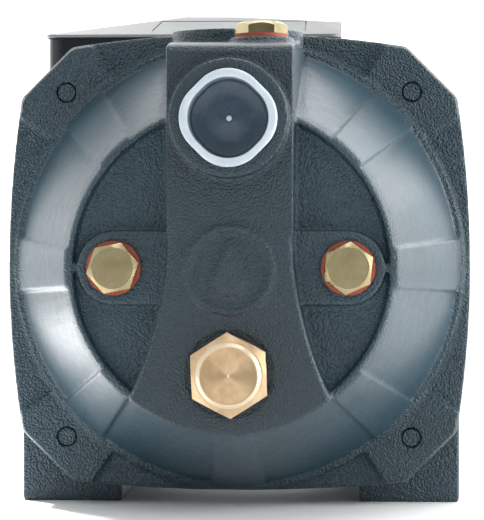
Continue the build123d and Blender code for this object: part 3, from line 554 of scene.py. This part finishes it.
def diamond_ring(centre, reach, flat, ahead, count=144):
    """Points on a square that stands on its corner, its corners rounded to this reach."""
    corner = (flat * math.sqrt(2) - reach) / (math.sqrt(2) - 1)
    straight = flat - corner
    points = []
    for index in range(count):
        angle = 2 * math.pi * index / count
        turn = (angle + math.pi / 4) % (math.pi / 2)
        turn = min(turn, math.pi / 2 - turn)
        length = flat / math.cos(turn)
        if length * math.sin(turn) > straight:
            across = straight * (math.cos(turn) - math.sin(turn))
            length = straight * (math.cos(turn) + math.sin(turn))
            length += math.sqrt(max(corner**2 - across**2, 0.0))
        x, z = length * math.cos(angle), length * math.sin(angle)
        points.append((centre.x + x * MM, centre.y + ahead * MM, centre.z + z * MM))
    return points


LAST_RIM_BAND = 11
LAST_WALL_BAND = 13
LAST_WEB_BAND = 18


def cap_of_suction_port():
    """The pale cap: a rim, a cup wall, and a thin floor, with the wall and floor dark as painted shade for the
    dark port behind them.
    """
    low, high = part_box("suction_port_cap")
    centre = Vector((0.0, low.y, (low.z + high.z) / 2))
    depth = (high.y - low.y) / MM
    floor = depth - 1.2

    def circle(radius, ahead):
        return diamond_ring(centre, radius, radius, ahead)

    def point(ahead):
        return [(centre.x, centre.y + ahead * MM, centre.z)]

    # The wall and floor bands take the dark finishes, which are painted shade; the rim and the nub keep the pale
    # plastic.
    def finish_of_band(band):
        if band < LAST_RIM_BAND or band > LAST_WEB_BAND:
            return 0
        return 2 if band < LAST_WALL_BAND else 1

    rings = [
        point(depth),
        circle(16.2, depth),
        circle(16.7, depth - 0.5),
        circle(16.7, 2.2),
        diamond_ring(centre, 18.3, 17.1, 2.2),
        diamond_ring(centre, 18.65, 17.45, 1.8),
        diamond_ring(centre, 18.7, 17.5, 1.2),
        diamond_ring(centre, 18.6, 17.4, 0.55),
        diamond_ring(centre, 18.2, 17.0, 0.12),
        diamond_ring(centre, 17.6, 16.4, 0.0),
        diamond_ring(centre, 16.0, 15.3, 0.0),
        diamond_ring(centre, 15.4, 14.8, 0.15),
        diamond_ring(centre, 15.1, 14.5, 0.6),
        diamond_ring(centre, 14.9, 14.3, floor - 1.8),
        diamond_ring(centre, 14.5, 13.9, floor - 0.6),
        diamond_ring(centre, 13.6, 13.0, floor),
        circle(8.0, floor - 0.15),
        circle(2.2, floor - 0.3),
        circle(1.4, floor - 0.5),
        circle(1.15, floor - 1.2),
        circle(0.7, floor - 1.5),
        point(floor - 1.6),
    ]
    # The floor and the cup wall are coloured dark as painted shade, standing in for the dark port seen through the
    # plastic.
    web = milky("cap_web_painted_shade", rgb(0.040, 0.075, 0.110), rgb(0.060, 0.100, 0.138))
    wall = milky("cap_wall_painted_shade", rgb(0.14, 0.18, 0.22), rgb(0.20, 0.25, 0.29))
    rim = finishes["cap_plastic"]
    return lathe_loft("suction_port_cap_form", rings, finish_of_band, (rim, web, wall))


cap = cap_of_suction_port()
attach(cap, "suction_cap")
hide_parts("suction_port_cap")

for node, width in (
    ("motor_housing", 0.5),
    ("terminal_box_base", 0.5),
    ("terminal_box_lid", 0.35),
    ("label_plate", 0.15),
    ("casing_bolts", 0.4),
    ("rear_end_shield", 0.5),
    ("cable_gland", 0.3),
    ("gland_nut", 0.4),
):
    place(softened(node, node + "_form", width * MM), node)

def dish(obj, joint, radius, depth):
    """Turn a shallow flat recess into the front face of a plug."""
    axis = Vector(joint["axis"])
    front = max(axis.dot(vertex.co) for vertex in obj.data.vertices)
    centre = Vector(joint["pos_m"])
    face = centre + axis * (front - axis.dot(centre))
    sides = 96
    turns = [2 * math.pi * index / sides for index in range(sides)]
    rings = []
    for ahead, reach in ((-depth, radius * 0.985), (depth, radius * 1.015)):
        middle = face + axis * ahead
        rings.append([middle + Vector((math.cos(t), 0, math.sin(t))) * reach for t in turns])
    cutter = lathe_loft("cutter", [[face - axis * depth], *rings, [face + axis * depth]])
    cut = obj.modifiers.new("dish", "BOOLEAN")
    cut.operation = "DIFFERENCE"
    cut.object = cutter
    settle(obj)
    bpy.data.objects.remove(cutter)
    return obj


for node, width in (
    ("drain_plug", 0.25),
    ("gauge_plug_left", 0.12),
    ("gauge_plug_right", 0.12),
    ("priming_plug", 0.12),
):
    joint = joints[node + "_unscrew"]
    piece = softened(node, node + "_form", width * MM)
    if node == "drain_plug":
        dish(piece, joint, 11.0 * MM, 0.6 * MM)
        bevelled(piece, 0.35 * MM, 3, 28.0)
    tones = (BRONZE_DARK, BRONZE_PALE, 0.9) if node == "drain_plug" else ()
    brass = turned_brass(node + "_brass", joint["pos_m"], joint["axis"], *tones)
    place(piece, node, brass)


# ------------------------------------------------------------------ stage, light, camera

def ground():
    """A plain pale floor."""
    mesh = bpy.data.meshes.new("floor")
    reach = 6.0
    corners = [(-reach, -reach, 0), (reach, -reach, 0), (reach, reach, 0), (-reach, reach, 0)]
    mesh.from_pydata(corners, [], [(0, 1, 2, 3)])
    floor = bpy.data.objects.new("floor", mesh)
    collection.objects.link(floor)
    finish = Finish("floor", Roughness=0.9)
    finish.colour(rgb(0.90, 0.90, 0.90))
    mesh.materials.append(finish.material)


def hang(lamp, where, aim):
    """Hang a lamp at a place, facing a point."""
    obj = bpy.data.objects.new(lamp.name, lamp)
    collection.objects.link(obj)
    obj.location = where
    obj.rotation_mode = "QUATERNION"
    obj.rotation_quaternion = (Vector(aim) - Vector(where)).to_track_quat("-Z", "Y")


def soft_light(name, where, aim, width, height, power):
    """A rectangular soft box that faces a point."""
    lamp = bpy.data.lights.new(name, "AREA")
    lamp.shape = "RECTANGLE"
    lamp.size = width
    lamp.size_y = height
    lamp.energy = power
    hang(lamp, where, aim)


def floor_light(name, where, aim, cone, power):
    """A spot lamp that brightens one patch of the floor."""
    lamp = bpy.data.lights.new(name, "SPOT")
    lamp.spot_size = math.radians(cone)
    lamp.spot_blend = 1.0
    lamp.shadow_soft_size = 0.05
    lamp.energy = power
    hang(lamp, where, aim)


def studio():
    """A white tent, dim on the camera's side."""
    world = bpy.data.worlds.new("tent")
    bpy.context.scene.world = world
    world.use_nodes = True
    tree = world.node_tree
    direction = tree.nodes.new("ShaderNodeTexCoord")
    split = tree.nodes.new("ShaderNodeSeparateXYZ")
    height = tree.nodes.new("ShaderNodeMath")
    height.operation = "ABSOLUTE"
    lifted = tree.nodes.new("ShaderNodeMath")
    lifted.operation = "MULTIPLY_ADD"
    lifted.inputs[1].default_value = 0.55
    near = tree.nodes.new("ShaderNodeMapRange")
    far = tree.nodes.new("ShaderNodeMapRange")
    total = tree.nodes.new("ShaderNodeMath")
    tree.links.new(direction.outputs["Generated"], split.inputs[0])
    tree.links.new(split.outputs["Z"], height.inputs[0])
    tree.links.new(height.outputs[0], lifted.inputs[0])
    tree.links.new(split.outputs["Y"], lifted.inputs[2])
    tree.links.new(lifted.outputs[0], near.inputs[0])
    tree.links.new(split.outputs["Y"], far.inputs[0])
    for node, values in ((near, (-0.92, -0.40, 0.20, 0.95)), (far, (0.0, 0.6, 0.0, 0.95))):
        for slot, value in enumerate(values, start=1):
            node.inputs[slot].default_value = value
    tree.links.new(near.outputs[0], total.inputs[0])
    tree.links.new(far.outputs[0], total.inputs[1])
    background = tree.nodes["Background"]
    background.inputs["Color"].default_value = rgb(1.0, 1.0, 1.0)
    tree.links.new(total.outputs[0], background.inputs["Strength"])


LENS_MM = 175.361538
CAMERA_PLACE = Vector((0.046, shaft.y - 1.060, 0.118))
CAMERA_AIM = Vector((0.0008, shaft.y, 0.1013))


def camera():
    """The photograph's viewpoint: in front of the pump end, a little to its right."""
    view = bpy.data.cameras.new("camera")
    view.sensor_width = 36.0
    view.lens = LENS_MM
    obj = bpy.data.objects.new("camera", view)
    collection.objects.link(obj)
    obj.location = CAMERA_PLACE
    obj.rotation_mode = "QUATERNION"
    obj.rotation_quaternion = (CAMERA_AIM - CAMERA_PLACE).to_track_quat("-Z", "Y")
    bpy.context.scene.camera = obj


ground()
studio()
soft_light("right_box", (0.62, 0.75, 0.70), (0, -0.08, 0.1), 0.7, 0.7, 3.0)
soft_light("side_box", (0.95, -0.30, 0.42), (0, -0.08, 0.1), 0.4, 0.8, 2.6)
soft_light("edge_box", (1.00, 0.02, 0.30), (0, -0.08, 0.1), 0.3, 0.6, 6.0)
soft_light("top_box", (0.1, 0.0, 1.2), (0, -0.05, 0.1), 1.0, 0.8, 5.0)
floor_light("floor_glow", (-0.45, 0.35, 0.9), (-0.25, 0.09, 0.0), 36.0, 200.0)
camera()
bpy.context.scene.view_settings.view_transform = "Standard"
